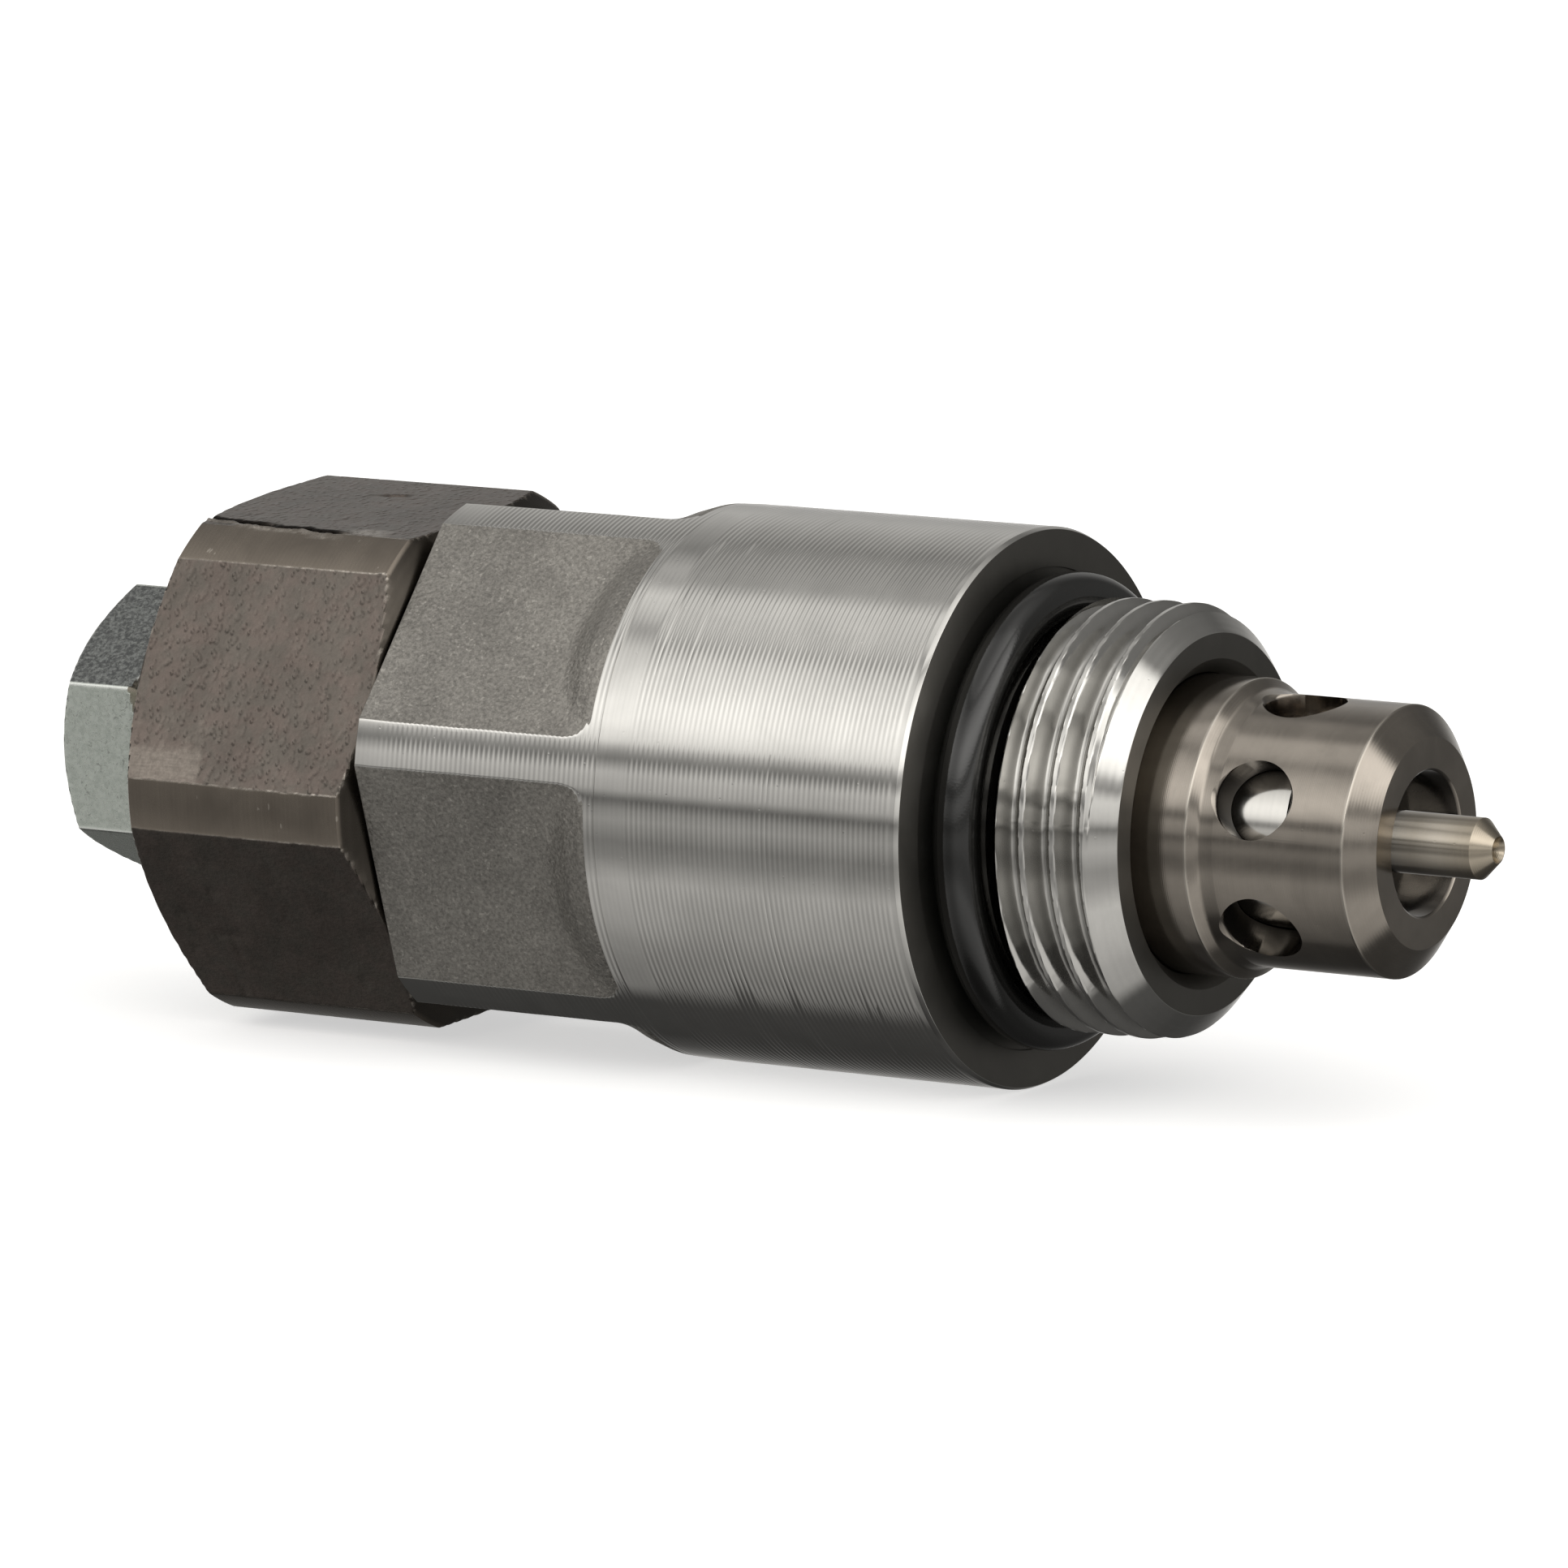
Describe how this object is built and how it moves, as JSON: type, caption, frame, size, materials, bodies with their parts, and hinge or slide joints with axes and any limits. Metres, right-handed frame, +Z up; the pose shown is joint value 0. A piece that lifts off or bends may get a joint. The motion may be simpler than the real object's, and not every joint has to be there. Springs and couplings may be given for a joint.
{
  "type": "screw-in cartridge valve",
  "caption": "Screw-in hydraulic relief cartridge: flanged hex body, threaded nose with a ported sleeve, spring-loaded poppets and a screw adjuster with lock nut.",
  "frame": {"origin": "centre of the flange face that seats on the port", "axes": "+X along the valve axis towards the nose, +Z up"},
  "size_m": [0.1006, 0.035, 0.035],
  "materials": {
    "body_steel": "turned, with blasted flats",
    "ground_steel": "hardened and ground, brownish",
    "polished_steel": "polished",
    "phosphated_steel": "phosphated, brownish grey",
    "zinc_plate": "zinc plated, satin",
    "black_steel": "black oxide",
    "spring_steel": "drawn wire",
    "seal_rubber": "oiled",
    "backup_plastic": "matte",
    "jet_brass": "turned"
  },
  "bodies": {
    "body": {"valve_body": "body_steel", "flange_o_ring": "seal_rubber", "sleeve_retaining_ring": "spring_steel", "pilot_seat": "ground_steel", "pilot_seat_o_ring": "seal_rubber", "pilot_seat_backup_ring": "backup_plastic", "pilot_jet": "jet_brass", "adjuster_plug": "phosphated_steel", "plug_o_ring": "seal_rubber", "sleeve_spring": "spring_steel", "poppet_spring": "spring_steel", "piston_spring": "spring_steel", "pilot_spring": "spring_steel"},
    "make_up_sleeve": {"sleeve": "ground_steel", "sleeve_o_ring": "seal_rubber", "sleeve_backup_ring": "backup_plastic"},
    "main_poppet": {"main_poppet": "polished_steel"},
    "piston": {"piston": "polished_steel", "piston_collar": "spring_steel"},
    "pilot_poppet": {"pilot_poppet": "polished_steel"},
    "spring_seat": {"spring_seat": "ground_steel", "spring_seat_o_ring": "seal_rubber", "spring_shim": "spring_steel"},
    "adjusting_screw": {"adjusting_screw": "black_steel"},
    "seal_washer": {"lock_nut_seal": "zinc_plate"},
    "lock_nut": {"lock_nut": "zinc_plate"}
  },
  "joints": [
    {"name": "sleeve_slide", "type": "slide", "parent": "body", "child": "make_up_sleeve", "axis": [-1, 0, 0], "range_m": [0, 0.0025], "deforming": ["sleeve_spring", "poppet_spring", "piston_spring"]},
    {"name": "main_poppet_slide", "type": "slide", "parent": "make_up_sleeve", "child": "main_poppet", "axis": [-1, 0, 0], "range_m": [0, 0.003], "deforming": ["poppet_spring", "piston_spring"]},
    {"name": "piston_slide", "type": "slide", "parent": "main_poppet", "child": "piston", "axis": [-1, 0, 0], "range_m": [0, 0.0015], "deforming": ["piston_spring"]},
    {"name": "pilot_poppet_slide", "type": "slide", "parent": "body", "child": "pilot_poppet", "axis": [-1, 0, 0], "range_m": [0, 0.0008], "deforming": ["pilot_spring"]},
    {"name": "spring_seat_slide", "type": "slide", "parent": "body", "child": "spring_seat", "axis": [1, 0, 0], "range_m": [-0.002, 0.002], "deforming": ["pilot_spring"]},
    {"name": "adjusting_screw_turn", "type": "hinge", "parent": "spring_seat", "child": "adjusting_screw", "pos_m": [-0.058, 0, 0], "axis": [1, 0, 0], "range_deg": [-480, 480]},
    {"name": "seal_washer_slide", "type": "slide", "parent": "body", "child": "seal_washer", "axis": [-1, 0, 0], "range_m": [0, 0.0015]},
    {"name": "lock_nut_turn", "type": "hinge", "parent": "seal_washer", "child": "lock_nut", "pos_m": [-0.064, 0, 0], "axis": [-1, 0, 0], "range_deg": [0, 360]}
  ],
  "couplings": [
    {"joint": "spring_seat_slide", "follows": "adjusting_screw_turn", "m_per_rad": 0.00023873},
    {"joint": "seal_washer_slide", "follows": "lock_nut_turn", "m_per_rad": 0.00023873}
  ]
}
